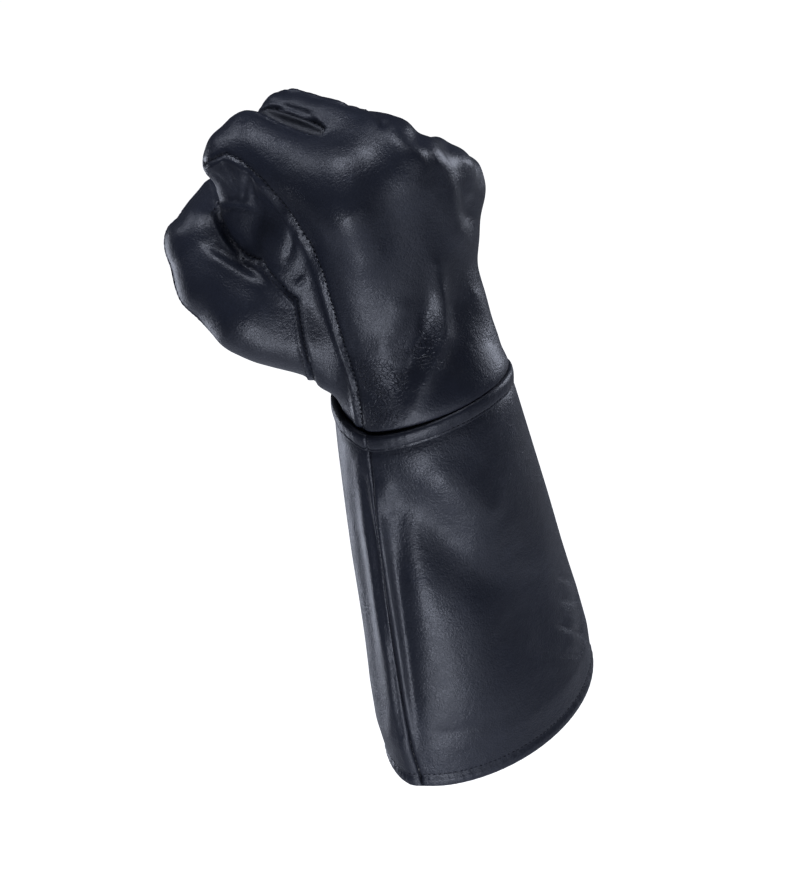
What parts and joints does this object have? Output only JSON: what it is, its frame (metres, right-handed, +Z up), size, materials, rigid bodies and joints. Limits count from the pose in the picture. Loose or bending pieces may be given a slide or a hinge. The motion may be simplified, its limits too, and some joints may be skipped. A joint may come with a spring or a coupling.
{
  "type": "gauntlet glove",
  "caption": "Right-hand leather gauntlet glove shaped as a closed fist, with side strips between the fingers, a wrist band and a long flared cuff with a turned hem.",
  "frame": {"origin": "middle of the wrist band, where the wrist sits", "axes": "+Z up the forearm to the knuckles, -Y the back of the hand, -X the thumb side"},
  "size_m": [0.1185, 0.1344, 0.2819],
  "materials": {
    "hand_leather": "satin blue-black leather with fine grain",
    "strip_leather": "satin blue-black leather",
    "band_leather": "satin blue-black leather, rolled",
    "cuff_leather": "satin blue-black leather with fine grain"
  },
  "bodies": {
    "root": {"back_panel": "hand_leather", "palm_panel": "hand_leather", "thumb": "hand_leather", "fourchette_index_middle": "strip_leather", "fourchette_middle_ring": "strip_leather", "fourchette_ring_little": "strip_leather", "wrist_band": "band_leather", "cuff_back_panel": "cuff_leather", "cuff_palm_panel": "cuff_leather"}
  },
  "joints": []
}
